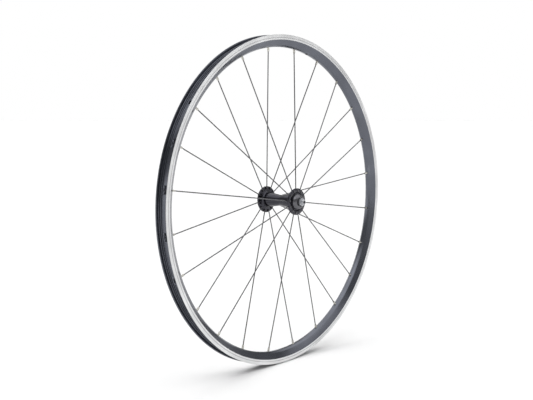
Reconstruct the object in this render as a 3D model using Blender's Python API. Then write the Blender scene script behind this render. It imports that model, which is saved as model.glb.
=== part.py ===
"""Front wheel of a road bicycle: a clincher rim on 24 radial spokes and a quick-release cup-and-cone hub.

Metres, +Z up. The origin is the wheel's centre and the axle lies along Y. With +X forward, the rider's left
is +Y. Angles round the wheel run from +X towards +Z. Outlines are lists of (radius, y) pairs. The wheel has
no tyre, rim tape, valve or quick-release skewer on it.
"""

import math

import bmesh
import bpy
from mathutils import Matrix, Vector

MM = 0.001
FULL_TURN = 2 * math.pi
GAP = 0.3 * MM  # clearance between touching pieces
SMOOTHED_UP_TO = math.radians(35)
PIVOT_MARK_SIZE = 20 * MM

# Spoke pattern
SPOKE_COUNT = 24
SPOKE_PITCH = FULL_TURN / SPOKE_COUNT
FIRST_SPOKE_ANGLE = SPOKE_PITCH / 2
VALVE_ANGLE = math.radians(75)
SEAM_ANGLE = VALVE_ANGLE + math.pi

# Rim section, for a 584 mm bead seat
RIM_RADIUS = 298 * MM
RIM_HALF_WIDTH = 12.4 * MM
LIP_THICKNESS = 1.3 * MM
HOOK_RADIUS = 296.4 * MM
HOOK_REACH = 0.7 * MM
BEAD_SEAT_RADIUS = 292 * MM
WELL_FLOOR_RADIUS = 289.6 * MM
WELL_HALF_WIDTH = 5.4 * MM
TRACK_BOTTOM_RADIUS = 288.9 * MM
BED_RADIUS = 276.4 * MM
BED_HALF_WIDTH = 2.4 * MM
BED_SHOULDER_RADIUS = 279.3 * MM
BED_SHOULDER_HALF_WIDTH = 6 * MM
BED_ROUNDING = 0.8 * MM
RIM_WALL = 1.5 * MM
RIM_STEPS = 60
CHAMFER = 0.4 * MM

# The rim's chamber widens from its bottom to its shoulder
CHAMBER_BOTTOM_RADIUS = BED_RADIUS + 1.6 * MM
CHAMBER_BOTTOM_HALF_WIDTH = 3.3 * MM
CHAMBER_SHOULDER_RADIUS = TRACK_BOTTOM_RADIUS - RIM_WALL
CHAMBER_SHOULDER_HALF_WIDTH = 10.1 * MM

# Drillings in the rim
NIPPLE_HOLE_RADIUS = 2.3 * MM
ACCESS_HOLE_RADIUS = 3.5 * MM
VALVE_HOLE_RADIUS = 3.3 * MM
HOLE_SIDES = 6

# Sleeve in the rim's chamber, across the seam
SLEEVE_INNER_RADIUS = CHAMBER_BOTTOM_RADIUS + RIM_WALL
SLEEVE_OUTER_RADIUS = WELL_FLOOR_RADIUS - RIM_WALL - 0.7 * MM
SLEEVE_SIDE_GAP = 0.5 * MM
SLEEVE_HALF_ANGLE = math.radians(5)
SLEEVE_STEPS = 2

# Hub shell
FLANGE_RADIUS = 24.2 * MM
FLANGE_INNER_Y = 33.7 * MM
FLANGE_OUTER_Y = 37.1 * MM
FLANGE_EDGE = 0.8 * MM
DISH_DEPTH = 1.8 * MM
DISH_OUTER_RADIUS = 17.4 * MM
BOSS_RADIUS = 14.3 * MM
BOSS_Y = 37.5 * MM
WAIST_RADIUS = 10.1 * MM
WAIST_HALF_LENGTH = 2.5 * MM
FLARE_RADIUS = 11.8 * MM
FLARE_Y = 14.5 * MM
NECK_RADIUS = 13.1 * MM
NECK_BLEND_RADIUS = 4.2 * MM
NECK_BLEND_POINTS = 4
SHELL_BORE_RADIUS = 8.2 * MM
SHELL_STEPS = 30
SPOKE_HOLE_CIRCLE_RADIUS = 19.8 * MM
SPOKE_HOLE_RADIUS = 1.42 * MM

# Bearings: 10 balls of 3/16 inch on each side
BALL_COUNT = 10
BALL_RADIUS = 2.38 * MM
BALL_CIRCLE_RADIUS = 8.2 * MM
BALL_Y = 34.5 * MM
RACE_RADIUS = BALL_RADIUS + GAP
RACE_ARC_POINTS = 4
BEARING_STEPS = 20
CUP_RADIUS = 11.7 * MM
CUP_INNER_RADIUS = 7 * MM
CUP_BOTTOM_Y = 30.7 * MM
CUP_TOP_Y = 37.3 * MM
CAGE_INNER_RADIUS = 7.9 * MM
CAGE_OUTER_RADIUS = 10.3 * MM
CAGE_BOTTOM_Y = 35.8 * MM
CAGE_TOP_Y = 36.9 * MM
CAGE_STEPS = 20
BALL_RINGS = 4
BALL_SIDES = 8

# Axle, cones and locknuts, for a 100 mm fork
AXLE_RADIUS = 4.4 * MM
AXLE_BORE_RADIUS = 2.6 * MM
AXLE_HALF_LENGTH = 54 * MM
THREADED_BORE_RADIUS = AXLE_RADIUS + GAP
CONE_NOSE_Y = 31.5 * MM
CONE_RADIUS = 7.2 * MM
CONE_END_Y = 46.6 * MM
CONE_RACE_END = math.radians(65)
COVER_RADIUS = 14.2 * MM
COVER_BOTTOM_Y = BOSS_Y + CHAMFER
COVER_SHOULDER_Y = 39.3 * MM
COVER_TOP_RADIUS = 8.8 * MM
COVER_TOP_Y = 46 * MM
COVER_WALL = 1 * MM
COVER_ROOT_WALL = 1.6 * MM
COVER_HOLLOW_Y = 43.6 * MM
LOCKNUT_SIDES = 6
LOCKNUT_CORNER_RADIUS = 7.5 * MM
LOCKNUT_INNER_Y = CONE_END_Y + GAP
LOCKNUT_OUTER_Y = 50 * MM

# Spokes and nipples
SPOKE_RADIUS = 1 * MM
SPOKE_SIDES = 6
SPOKE_HEAD_RADIUS = 1.9 * MM
SPOKE_HEAD_THICKNESS = 1.2 * MM
SPOKE_CROWN_SHARE = 0.6
ELBOW_RADIUS = 1.6 * MM
ELBOW_START_Y = FLANGE_INNER_Y - 0.1 * MM
ELBOW_STEPS = 2
BED_MIDDLE_RADIUS = BED_RADIUS + RIM_WALL / 2
NIPPLE_RADIUS = 1.95 * MM
NIPPLE_BORE_RADIUS = SPOKE_RADIUS + GAP
NIPPLE_HEAD_RADIUS = 3 * MM
NIPPLE_CROWN_RADIUS = 2.1 * MM
# Places along a spoke's line, outwards from the middle of the spoke bed
NIPPLE_START = -7.7 * MM
NIPPLE_SEAT = 1.7 * MM
NIPPLE_HEAD_TOP = 3.6 * MM
NIPPLE_CROWN_TOP = 4.3 * MM
NIPPLE_BORE_END = 3.2 * MM
SPOKE_END = 2.6 * MM

# Turns that lay a circle made across Z across the axle's line, or across the +X radius
ACROSS_AXLE = Matrix.Rotation(-math.pi / 2, 4, "X")
ACROSS_RADIUS = Matrix.Rotation(math.pi / 2, 4, "Y")
ELBOW_CENTRE = Vector((SPOKE_HOLE_CIRCLE_RADIUS + ELBOW_RADIUS, ELBOW_START_Y, 0))

# name: (colour, roughness, metallic)
FINISHES = {
    "black_anodised_rim": ((0.035, 0.037, 0.042), 0.38, 0.6),
    "machined_brake_track": ((0.68, 0.68, 0.69), 0.3, 1.0),
    "gloss_black_shell": ((0.012, 0.012, 0.014), 0.2, 0.5),
    "stainless_wire": ((0.45, 0.45, 0.46), 0.28, 1.0),
    "plated_brass": ((0.6, 0.58, 0.53), 0.35, 1.0),
    "bearing_steel": ((0.55, 0.55, 0.56), 0.2, 1.0),
    "black_plated_steel": ((0.03, 0.03, 0.033), 0.35, 0.7),
    "zinc_plated_steel": ((0.62, 0.63, 0.64), 0.33, 1.0),
    "extruded_aluminium": ((0.6, 0.6, 0.61), 0.45, 1.0),
}


def clear_scene():
    for obj in list(bpy.data.objects):
        bpy.data.objects.remove(obj, do_unlink=True)


def make_finishes():
    finishes = {}
    for name, (colour, roughness, metallic) in FINISHES.items():
        material = bpy.data.materials.new(name)
        material.use_nodes = True
        shader = material.node_tree.nodes["Principled BSDF"]
        shader.inputs["Base Color"].default_value = (*colour, 1)
        shader.inputs["Roughness"].default_value = roughness
        shader.inputs["Metallic"].default_value = metallic
        material.diffuse_color = (*colour, 1)
        finishes[name] = material
    return finishes


def add_object(name, mesh, parent=None):
    obj = bpy.data.objects.new(name, mesh)
    bpy.context.scene.collection.objects.link(obj)
    obj.parent = parent
    return obj


def add_pivot(name):
    """An empty on the axle's centre line, which a turning group is parented to."""
    pivot = add_object(name, None)
    pivot.empty_display_size = PIVOT_MARK_SIZE
    return pivot


def make_mesh(name, bm, material):
    bmesh.ops.recalc_face_normals(bm, faces=bm.faces)
    mesh = bpy.data.meshes.new(name)
    bm.to_mesh(mesh)
    bm.free()
    mesh.materials.append(material)
    mesh.shade_smooth()
    mesh.set_sharp_from_angle(angle=SMOOTHED_UP_TO)
    return mesh


def mirrored(half_outline):
    """A closed outline from its +Y half, whose ends face their own mirror images across y = 0."""
    return half_outline + [(radius, -y) for radius, y in reversed(half_outline)]


def turned(outline, steps):
    """A bmesh of a closed outline turned once round the axle's line."""
    bm = bmesh.new()
    points = [bm.verts.new((radius, y, 0)) for radius, y in outline]
    edges = [bm.edges.new((points[i - 1], points[i])) for i in range(len(points))]
    bmesh.ops.spin(
        bm, geom=points + edges, axis=(0, 1, 0), cent=(0, 0, 0), angle=FULL_TURN, steps=steps, use_merge=True
    )
    return bm


def arc(centre, radius, start, end, count):
    """Points round a centre, with angles from the +radius direction towards +y."""
    points = []
    for i in range(count):
        angle = start + (end - start) * i / (count - 1)
        points.append((centre[0] + radius * math.cos(angle), centre[1] + radius * math.sin(angle)))
    return points


def circle(bm, radius, place):
    """A ring of edges across Z, placed by a matrix."""
    bmesh.ops.create_circle(bm, cap_ends=False, segments=SPOKE_SIDES, radius=radius, matrix=place)
    return list(bm.edges)


def extend(bm, ring, offset, scale=1.0):
    """Extrudes a ring of edges by an offset, scales it about its centre and returns the new ring."""
    made = bmesh.ops.extrude_edge_only(bm, edges=ring)["geom"]
    points = [item for item in made if isinstance(item, bmesh.types.BMVert)]
    bmesh.ops.translate(bm, verts=points, vec=offset)
    centre = sum((point.co for point in points), Vector()) / len(points)
    bmesh.ops.scale(bm, verts=points, vec=(scale, scale, scale), space=Matrix.Translation(-centre))
    return [item for item in made if isinstance(item, bmesh.types.BMEdge) and item.is_boundary]


def spoke_angle(index):
    return FIRST_SPOKE_ANGLE + index * SPOKE_PITCH


def place_on_spoke(obj, index):
    """Turns a piece modelled at angle 0 on the +Y side to a spoke's place. Every other spoke is on -Y."""
    half_turn = math.pi if index % 2 else 0
    obj.rotation_euler = (half_turn, -spoke_angle(index), 0)


def spoke_tilt():
    """The angle between a spoke and the wheel's plane: its line is tangent to the elbow's circle."""
    reach = BED_MIDDLE_RADIUS - ELBOW_CENTRE.x
    distance = math.hypot(reach, ELBOW_CENTRE.y)
    return math.atan2(ELBOW_CENTRE.y, reach) - math.asin(ELBOW_RADIUS / distance)


def spoke_direction():
    tilt = spoke_tilt()
    return Vector((math.cos(tilt), -math.sin(tilt), 0))


def across_line():
    """The direction from the elbow's centre to the spoke's line, square to the line."""
    tilt = spoke_tilt()
    return Vector((-math.sin(tilt), -math.cos(tilt), 0))


def along_spoke(distance):
    """The point of a spoke's line at a distance outwards from the middle of the spoke bed."""
    return Vector((BED_MIDDLE_RADIUS, 0, 0)) + spoke_direction() * distance


def across_spoke():
    """Turns a circle that lies across Z to lie across a spoke's line, corner to corner with the spoke."""
    tilt = Matrix.Rotation(-spoke_tilt(), 4, "Z")
    return tilt @ ACROSS_RADIUS @ Matrix.Rotation(math.pi / 2, 4, "Z")


def drill(start, turn, length, radius):
    """A bmesh of a round bar from a point, along the direction that a matrix turns Z to."""
    bm = bmesh.new()
    place = Matrix.Translation(start) @ turn @ Matrix.Translation((0, 0, length / 2))
    bmesh.ops.create_cone(
        bm, cap_ends=True, segments=HOLE_SIDES, radius1=radius, radius2=radius, depth=length, matrix=place
    )
    return bm


def gathered(pieces):
    """One bmesh of several, each a (bmesh, matrix) pair, as a set of drills used together."""
    whole = bmesh.new()
    for bm, matrix in pieces:
        bm.transform(matrix)
        carrier = bpy.data.meshes.new("carrier")
        bm.to_mesh(carrier)
        bm.free()
        whole.from_mesh(carrier)
        bpy.data.meshes.remove(carrier)
    return whole


def add_helper(name, bm, material):
    """A cutter or a filler for a Boolean, which isn't a piece of the wheel."""
    helper = add_object(name, make_mesh(name, bm, material))
    helper.hide_render = True
    helper.display_type = "WIRE"
    return helper


def combine(obj, helper, operation):
    modifier = obj.modifiers.new(helper.name, "BOOLEAN")
    modifier.operation = operation
    modifier.solver = "EXACT"
    modifier.object = helper


def turned_to(angle):
    return Matrix.Rotation(-angle, 4, "Y")


def spoke_matrix(index):
    half_turn = Matrix.Rotation(math.pi if index % 2 else 0, 4, "X")
    return turned_to(spoke_angle(index)) @ half_turn


def rim_outline():
    """The rim's outside: spoke bed, side wall, brake track, hooked lip, bead seat and tyre well."""
    lip_inner = RIM_HALF_WIDTH - LIP_THICKNESS
    return mirrored(
        [
            (BED_RADIUS, BED_HALF_WIDTH),
            (BED_RADIUS + BED_ROUNDING, (BED_HALF_WIDTH + BED_SHOULDER_HALF_WIDTH) / 2),
            (BED_SHOULDER_RADIUS, BED_SHOULDER_HALF_WIDTH),
            (TRACK_BOTTOM_RADIUS, RIM_HALF_WIDTH),
            (RIM_RADIUS - CHAMFER, RIM_HALF_WIDTH),
            (RIM_RADIUS, RIM_HALF_WIDTH - CHAMFER),
            (RIM_RADIUS, lip_inner),
            (HOOK_RADIUS, lip_inner - HOOK_REACH),
            (HOOK_RADIUS - LIP_THICKNESS, lip_inner),
            (BEAD_SEAT_RADIUS, lip_inner - CHAMFER),
            (BEAD_SEAT_RADIUS, WELL_HALF_WIDTH + RIM_WALL / 2),
            (WELL_FLOOR_RADIUS, WELL_HALF_WIDTH),
        ]
    )


def chamber_outline():
    """The hollow between the tyre well and the spoke bed."""
    return mirrored(
        [
            (CHAMBER_BOTTOM_RADIUS, CHAMBER_BOTTOM_HALF_WIDTH),
            (CHAMBER_SHOULDER_RADIUS, CHAMBER_SHOULDER_HALF_WIDTH),
            (BEAD_SEAT_RADIUS - RIM_WALL, CHAMBER_SHOULDER_HALF_WIDTH + CHAMFER),
            (BEAD_SEAT_RADIUS - RIM_WALL, WELL_HALF_WIDTH + RIM_WALL),
            (WELL_FLOOR_RADIUS - RIM_WALL, WELL_HALF_WIDTH),
        ]
    )


def chamber_half_width(radius):
    """The chamber's half width between its bottom and its shoulder."""
    share = (radius - CHAMBER_BOTTOM_RADIUS) / (CHAMBER_SHOULDER_RADIUS - CHAMBER_BOTTOM_RADIUS)
    return CHAMBER_BOTTOM_HALF_WIDTH + share * (CHAMBER_SHOULDER_HALF_WIDTH - CHAMBER_BOTTOM_HALF_WIDTH)


def rim_drills():
    """Nipple holes through the spoke bed, access holes through the well's floor, and the valve hole."""
    bed_start = along_spoke(-RIM_WALL)
    floor_start = (WELL_FLOOR_RADIUS - 2 * RIM_WALL, 0, 0)
    drills = []
    for index in range(SPOKE_COUNT):
        nipple_hole = drill(bed_start, across_spoke(), 2 * RIM_WALL, NIPPLE_HOLE_RADIUS)
        drills.append((nipple_hole, spoke_matrix(index)))
        access_hole = drill(floor_start, ACROSS_RADIUS, 3 * RIM_WALL, ACCESS_HOLE_RADIUS)
        drills.append((access_hole, turned_to(spoke_angle(index))))
    valve_start = (BED_RADIUS - RIM_WALL, 0, 0)
    valve_length = WELL_FLOOR_RADIUS - BED_RADIUS + 2 * RIM_WALL
    valve_hole = drill(valve_start, ACROSS_RADIUS, valve_length, VALVE_HOLE_RADIUS)
    drills.append((valve_hole, turned_to(VALVE_ANGLE)))
    return gathered(drills)


def make_rim(finishes, parent):
    black = finishes["black_anodised_rim"]
    rim = add_object("rim", make_mesh("rim", turned(rim_outline(), RIM_STEPS), black), parent)
    rim.data.materials.append(finishes["machined_brake_track"])
    for face in rim.data.polygons:
        face.material_index = int(abs(face.center.y) > RIM_HALF_WIDTH - CHAMFER)
    combine(rim, add_helper("rim_chamber", turned(chamber_outline(), RIM_STEPS), black), "DIFFERENCE")
    combine(rim, add_helper("rim_drills", rim_drills(), black), "DIFFERENCE")


def make_sleeve(finishes, parent):
    """The insert that joins the rim's two ends, in the chamber opposite the valve hole."""
    shoulder_radius = SLEEVE_OUTER_RADIUS - RIM_WALL
    widest = chamber_half_width(shoulder_radius) - SLEEVE_SIDE_GAP
    outline = mirrored(
        [
            (SLEEVE_INNER_RADIUS, chamber_half_width(SLEEVE_INNER_RADIUS) - SLEEVE_SIDE_GAP),
            (shoulder_radius, widest),
            (SLEEVE_OUTER_RADIUS, widest),
        ]
    )
    bm = bmesh.new()
    face = bm.faces.new([bm.verts.new((radius, y, 0)) for radius, y in outline])
    bm.transform(turned_to(SEAM_ANGLE - SLEEVE_HALF_ANGLE))
    bmesh.ops.spin(
        bm, geom=[face], axis=(0, 1, 0), cent=(0, 0, 0), angle=-2 * SLEEVE_HALF_ANGLE, steps=SLEEVE_STEPS
    )
    add_object("joint_sleeve", make_mesh("joint_sleeve", bm, finishes["extruded_aluminium"]), parent)


def shell_outline():
    """The hub shell: a waisted barrel, two flanges with dished outer faces, and a boss round each bearing."""
    bore_end = CUP_BOTTOM_Y - GAP
    seat_radius = CUP_RADIUS + GAP
    blend_centre = (NECK_RADIUS + NECK_BLEND_RADIUS, FLANGE_INNER_Y - NECK_BLEND_RADIUS)
    neck_blend = arc(blend_centre, NECK_BLEND_RADIUS, math.pi, math.pi / 2, NECK_BLEND_POINTS)
    dish_y = FLANGE_OUTER_Y - DISH_DEPTH
    return mirrored(
        [
            (WAIST_RADIUS, WAIST_HALF_LENGTH),
            (FLARE_RADIUS, FLARE_Y),
        ]
        + neck_blend
        + [
            (FLANGE_RADIUS - FLANGE_EDGE, FLANGE_INNER_Y),
            (FLANGE_RADIUS, FLANGE_INNER_Y + FLANGE_EDGE),
            (FLANGE_RADIUS, FLANGE_OUTER_Y - FLANGE_EDGE),
            (FLANGE_RADIUS - FLANGE_EDGE, FLANGE_OUTER_Y),
            (DISH_OUTER_RADIUS, FLANGE_OUTER_Y),
            (DISH_OUTER_RADIUS - DISH_DEPTH, dish_y),
            (BOSS_RADIUS, dish_y),
            (BOSS_RADIUS, BOSS_Y),
            (seat_radius, BOSS_Y),
            (seat_radius, bore_end),
            (SHELL_BORE_RADIUS, bore_end),
        ]
    )


def flange_drills():
    length = 2 * (FLANGE_OUTER_Y - FLANGE_INNER_Y)
    start = (SPOKE_HOLE_CIRCLE_RADIUS, FLANGE_INNER_Y - length / 4, 0)
    drills = []
    for index in range(SPOKE_COUNT):
        drills.append((drill(start, ACROSS_AXLE, length, SPOKE_HOLE_RADIUS), spoke_matrix(index)))
    return gathered(drills)


def make_hub_shell(finishes, parent):
    black = finishes["gloss_black_shell"]
    mesh = make_mesh("hub_shell", turned(shell_outline(), SHELL_STEPS), black)
    shell = add_object("hub_shell", mesh, parent)
    combine(shell, add_helper("flange_drills", flange_drills(), black), "DIFFERENCE")


def cup_outline():
    """A pressed-in cup, its race open to the outboard side."""
    race = arc((BALL_CIRCLE_RADIUS, BALL_Y), RACE_RADIUS, 0, -math.pi / 2, RACE_ARC_POINTS)
    return (
        [(CUP_RADIUS, CUP_BOTTOM_Y), (CUP_RADIUS, CUP_TOP_Y), (BALL_CIRCLE_RADIUS + RACE_RADIUS, CUP_TOP_Y)]
        + race
        + [(CUP_INNER_RADIUS, BALL_Y - RACE_RADIUS), (CUP_INNER_RADIUS, CUP_BOTTOM_Y)]
    )


def cone_outline():
    """A threaded cone: nose, race for the balls, and a dust cover over the mouth of the hub shell."""
    race = arc((BALL_CIRCLE_RADIUS, BALL_Y), RACE_RADIUS, math.pi, math.pi - CONE_RACE_END, RACE_ARC_POINTS)
    return (
        [(THREADED_BORE_RADIUS, CONE_NOSE_Y), (BALL_CIRCLE_RADIUS - RACE_RADIUS, CONE_NOSE_Y)]
        + race
        + [
            (CONE_RADIUS, COVER_HOLLOW_Y),
            (COVER_RADIUS - COVER_ROOT_WALL, COVER_BOTTOM_Y + COVER_WALL),
            (COVER_RADIUS - COVER_WALL, COVER_BOTTOM_Y),
            (COVER_RADIUS, COVER_BOTTOM_Y),
            (COVER_RADIUS, COVER_SHOULDER_Y),
            (COVER_TOP_RADIUS, COVER_TOP_Y),
            (COVER_TOP_RADIUS - CHAMFER, CONE_END_Y),
            (THREADED_BORE_RADIUS, CONE_END_Y),
        ]
    )


def locknut_blank():
    """A hexagonal bar across the axle, with a corner at the top."""
    bm = bmesh.new()
    middle = Matrix.Translation((0, (LOCKNUT_INNER_Y + LOCKNUT_OUTER_Y) / 2, 0))
    bmesh.ops.create_cone(
        bm,
        cap_ends=True,
        segments=LOCKNUT_SIDES,
        radius1=LOCKNUT_CORNER_RADIUS,
        radius2=LOCKNUT_CORNER_RADIUS,
        depth=LOCKNUT_OUTER_Y - LOCKNUT_INNER_Y,
        matrix=middle @ ACROSS_AXLE,
    )
    return bm


def bore_cutter():
    bm = bmesh.new()
    bmesh.ops.create_cone(
        bm,
        cap_ends=True,
        segments=BEARING_STEPS,
        radius1=THREADED_BORE_RADIUS,
        radius2=THREADED_BORE_RADIUS,
        depth=2 * AXLE_HALF_LENGTH,
        matrix=ACROSS_AXLE,
    )
    return bm


def cage_outline():
    return [
        (CAGE_INNER_RADIUS, CAGE_BOTTOM_Y),
        (CAGE_OUTER_RADIUS, CAGE_BOTTOM_Y),
        (CAGE_OUTER_RADIUS, CAGE_TOP_Y),
        (CAGE_INNER_RADIUS, CAGE_TOP_Y),
    ]


def ball_circle():
    balls = []
    for index in range(BALL_COUNT):
        ball = bmesh.new()
        bmesh.ops.create_uvsphere(ball, u_segments=BALL_SIDES, v_segments=BALL_RINGS, radius=BALL_RADIUS)
        place = Matrix.Translation((BALL_CIRCLE_RADIUS, BALL_Y, 0)) @ ACROSS_AXLE
        balls.append((ball, turned_to(FULL_TURN * index / BALL_COUNT) @ place))
    return gathered(balls)


def make_axle(finishes, parent):
    axle_outline = mirrored(
        [
            (AXLE_BORE_RADIUS, AXLE_HALF_LENGTH),
            (AXLE_RADIUS - CHAMFER, AXLE_HALF_LENGTH),
            (AXLE_RADIUS, AXLE_HALF_LENGTH - CHAMFER),
        ]
    )
    steel = finishes["zinc_plated_steel"]
    add_object("axle", make_mesh("axle", turned(axle_outline, BEARING_STEPS), steel), parent)


def make_bearing_side(side, turn, finishes, axle_pivot, wheel_pivot, cage_pivot, bore):
    """One side's bearing. The pieces are modelled at +Y and turned about Z to their side."""
    steel = finishes["bearing_steel"]
    shapes = (
        ("bearing_cup_", turned(cup_outline(), BEARING_STEPS), wheel_pivot, steel),
        ("cone_", turned(cone_outline(), BEARING_STEPS), axle_pivot, finishes["black_plated_steel"]),
        ("locknut_", locknut_blank(), axle_pivot, finishes["zinc_plated_steel"]),
        ("caged_balls_", turned(cage_outline(), CAGE_STEPS), cage_pivot, steel),
    )
    pieces = {}
    for prefix, bm, parent, material in shapes:
        name = prefix + side
        pieces[prefix] = add_object(name, make_mesh(name, bm, material), parent)
        pieces[prefix].rotation_euler.z = turn
    balls = add_helper("ball_circle_" + side, ball_circle(), steel)
    balls.rotation_euler.z = turn
    combine(pieces["caged_balls_"], balls, "UNION")
    combine(pieces["locknut_"], bore, "DIFFERENCE")


def spoke_mesh(material):
    """A J-bend spoke at angle 0 on the +Y side: head, shank through the flange, elbow and straight wire."""
    bm = bmesh.new()
    head_base_y = FLANGE_OUTER_Y + GAP
    half_head = Vector((0, -SPOKE_HEAD_THICKNESS / 2, 0))
    crown = SPOKE_HEAD_RADIUS * SPOKE_CROWN_SHARE
    top = Matrix.Translation((SPOKE_HOLE_CIRCLE_RADIUS, head_base_y + SPOKE_HEAD_THICKNESS, 0))
    ring = circle(bm, crown, top @ ACROSS_AXLE)
    ring = extend(bm, ring, half_head, SPOKE_HEAD_RADIUS / crown)
    ring = extend(bm, ring, half_head, SPOKE_RADIUS / SPOKE_HEAD_RADIUS)
    ring = extend(bm, ring, Vector((0, ELBOW_START_Y - head_base_y, 0)))
    bend = bmesh.ops.spin(
        bm,
        geom=ring,
        cent=ELBOW_CENTRE,
        axis=(0, 0, 1),
        angle=math.pi / 2 - spoke_tilt(),
        steps=ELBOW_STEPS,
    )
    ring = [item for item in bend["geom_last"] if isinstance(item, bmesh.types.BMEdge)]
    elbow_end = ELBOW_CENTRE + across_line() * ELBOW_RADIUS
    extend(bm, ring, along_spoke(SPOKE_END) - elbow_end)
    bmesh.ops.holes_fill(bm, edges=bm.edges)
    return make_mesh("spoke", bm, material)


def nipple_mesh(material):
    """A nipple at angle 0 on the +Y side: a bore for the spoke, a shank and a head above the spoke bed."""
    bm = bmesh.new()
    direction = spoke_direction()
    ring = circle(bm, NIPPLE_BORE_RADIUS, Matrix.Translation(along_spoke(NIPPLE_BORE_END)) @ across_spoke())
    ring = extend(bm, ring, direction * (NIPPLE_START - NIPPLE_BORE_END))
    ring = extend(bm, ring, Vector(), NIPPLE_RADIUS / NIPPLE_BORE_RADIUS)
    ring = extend(bm, ring, direction * (NIPPLE_SEAT - NIPPLE_START))
    ring = extend(bm, ring, Vector(), NIPPLE_HEAD_RADIUS / NIPPLE_RADIUS)
    ring = extend(bm, ring, direction * (NIPPLE_HEAD_TOP - NIPPLE_SEAT))
    crown_rise = direction * (NIPPLE_CROWN_TOP - NIPPLE_HEAD_TOP)
    extend(bm, ring, crown_rise, NIPPLE_CROWN_RADIUS / NIPPLE_HEAD_RADIUS)
    bmesh.ops.holes_fill(bm, edges=bm.edges)
    return make_mesh("nipple", bm, material)


def main():
    clear_scene()
    finishes = make_finishes()
    axle_pivot = add_pivot("axle_pivot")
    wheel_pivot = add_pivot("wheel_pivot")
    make_rim(finishes, wheel_pivot)
    make_sleeve(finishes, wheel_pivot)
    make_hub_shell(finishes, wheel_pivot)
    make_axle(finishes, axle_pivot)
    bore = add_helper("locknut_bore", bore_cutter(), finishes["zinc_plated_steel"])
    for side, turn in (("left", 0), ("right", math.pi)):
        cage_pivot = add_pivot("cage_pivot_" + side)
        make_bearing_side(side, turn, finishes, axle_pivot, wheel_pivot, cage_pivot, bore)
    spoke = spoke_mesh(finishes["stainless_wire"])
    nipple = nipple_mesh(finishes["plated_brass"])
    for index in range(SPOKE_COUNT):
        place_on_spoke(add_object(f"spoke_{index + 1:02d}", spoke, wheel_pivot), index)
        place_on_spoke(add_object(f"nipple_{index + 1:02d}", nipple, wheel_pivot), index)


main()
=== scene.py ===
"""The look of a bicycle front wheel, built round its fixed frame of parts.

Metres, +Z up. The origin is the wheel's centre, the axle lies along Y and the rider's left is +Y. Angles
round the wheel run from +X towards +Z. Outlines are lists of (radius, y, fillet) corners, and are turned
round the axle's line.
"""

import math

import bmesh
import bpy
from bpy.props import FloatProperty, FloatVectorProperty, IntProperty, PointerProperty
from mathutils import Matrix, Vector


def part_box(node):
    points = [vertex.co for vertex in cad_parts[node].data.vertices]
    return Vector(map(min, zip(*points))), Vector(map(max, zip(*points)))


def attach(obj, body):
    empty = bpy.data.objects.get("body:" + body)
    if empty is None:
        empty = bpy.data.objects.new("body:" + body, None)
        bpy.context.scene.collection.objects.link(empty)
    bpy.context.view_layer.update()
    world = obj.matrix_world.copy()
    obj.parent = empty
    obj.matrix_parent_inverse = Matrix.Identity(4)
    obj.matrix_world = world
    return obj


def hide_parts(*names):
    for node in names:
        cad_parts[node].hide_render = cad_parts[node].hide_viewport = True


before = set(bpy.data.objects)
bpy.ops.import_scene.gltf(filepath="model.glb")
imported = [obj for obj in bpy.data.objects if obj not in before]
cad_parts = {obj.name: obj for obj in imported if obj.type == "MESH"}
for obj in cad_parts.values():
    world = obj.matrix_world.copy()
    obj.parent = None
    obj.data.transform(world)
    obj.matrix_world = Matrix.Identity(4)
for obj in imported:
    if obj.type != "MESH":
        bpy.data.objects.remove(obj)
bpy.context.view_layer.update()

bl_info = {
    "name": "Bicycle front wheel",
    "version": (1, 0, 0),
    "blender": (4, 5, 0),
    "location": "3D View > Sidebar > Wheel",
    "description": "Builds the finished pieces of a spoked front wheel and its stage",
    "category": "Object",
}

MM = 0.001
FULL_TURN = 2 * math.pi
GAP = 0.3 * MM
SMOOTHED_UP_TO = math.radians(32)
SIDES = ("left", "right")

# Sizes that the frame's parts give
RIM_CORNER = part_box("rim")[1]
RIM_RADIUS = RIM_CORNER.x
RIM_HALF_WIDTH = RIM_CORNER.y
SHELL_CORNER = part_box("hub_shell")[1]
FLANGE_RADIUS = SHELL_CORNER.x
BOSS_Y = SHELL_CORNER.y
CUP_LOW, CUP_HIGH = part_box("bearing_cup_left")
CONE_LOW, CONE_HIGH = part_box("cone_left")
LOCKNUT_LOW, LOCKNUT_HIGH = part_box("locknut_left")
AXLE_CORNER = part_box("axle")[1]
AXLE_RADIUS = AXLE_CORNER.x
AXLE_HALF_LENGTH = AXLE_CORNER.y
SPOKE_COUNT = sum(name.startswith("spoke_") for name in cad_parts)
SPOKE_PITCH = FULL_TURN / SPOKE_COUNT
VALVE_ANGLE = math.radians(75)

# Rounding of corners
FINE_FILLET = 0.2 * MM
SMALL_FILLET = 0.3 * MM
EDGE_FILLET = 0.5 * MM
WELL_FILLET = 0.7 * MM
SEAT_FILLET = 0.8 * MM
COVER_FILLET = 1 * MM
SHOULDER_FILLET = 2.4 * MM
DOME_FILLET = 3 * MM

# Rim section, inwards from the lips
LIP_THICKNESS = 1.3 * MM
HOOK_RADIUS = RIM_RADIUS - 1.6 * MM
HOOK_REACH = 0.7 * MM
BEAD_SEAT_RADIUS = RIM_RADIUS - 6 * MM
WELL_FLOOR_RADIUS = RIM_RADIUS - 8.4 * MM
WELL_HALF_WIDTH = 5.4 * MM
TRACK_BOTTOM_RADIUS = RIM_RADIUS - 9.1 * MM
BED_RADIUS = RIM_RADIUS - 21.6 * MM
BED_HALF_WIDTH = 2.4 * MM
BED_SHOULDER_RADIUS = RIM_RADIUS - 18.7 * MM
BED_SHOULDER_HALF_WIDTH = 6 * MM
RIM_WALL = 1.5 * MM
CHAMFER = 0.4 * MM
CHAMBER_BOTTOM_RADIUS = BED_RADIUS + 1.6 * MM
CHAMBER_BOTTOM_HALF_WIDTH = 3.3 * MM
CHAMBER_SIDE_HALF_WIDTH = 10.1 * MM
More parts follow.
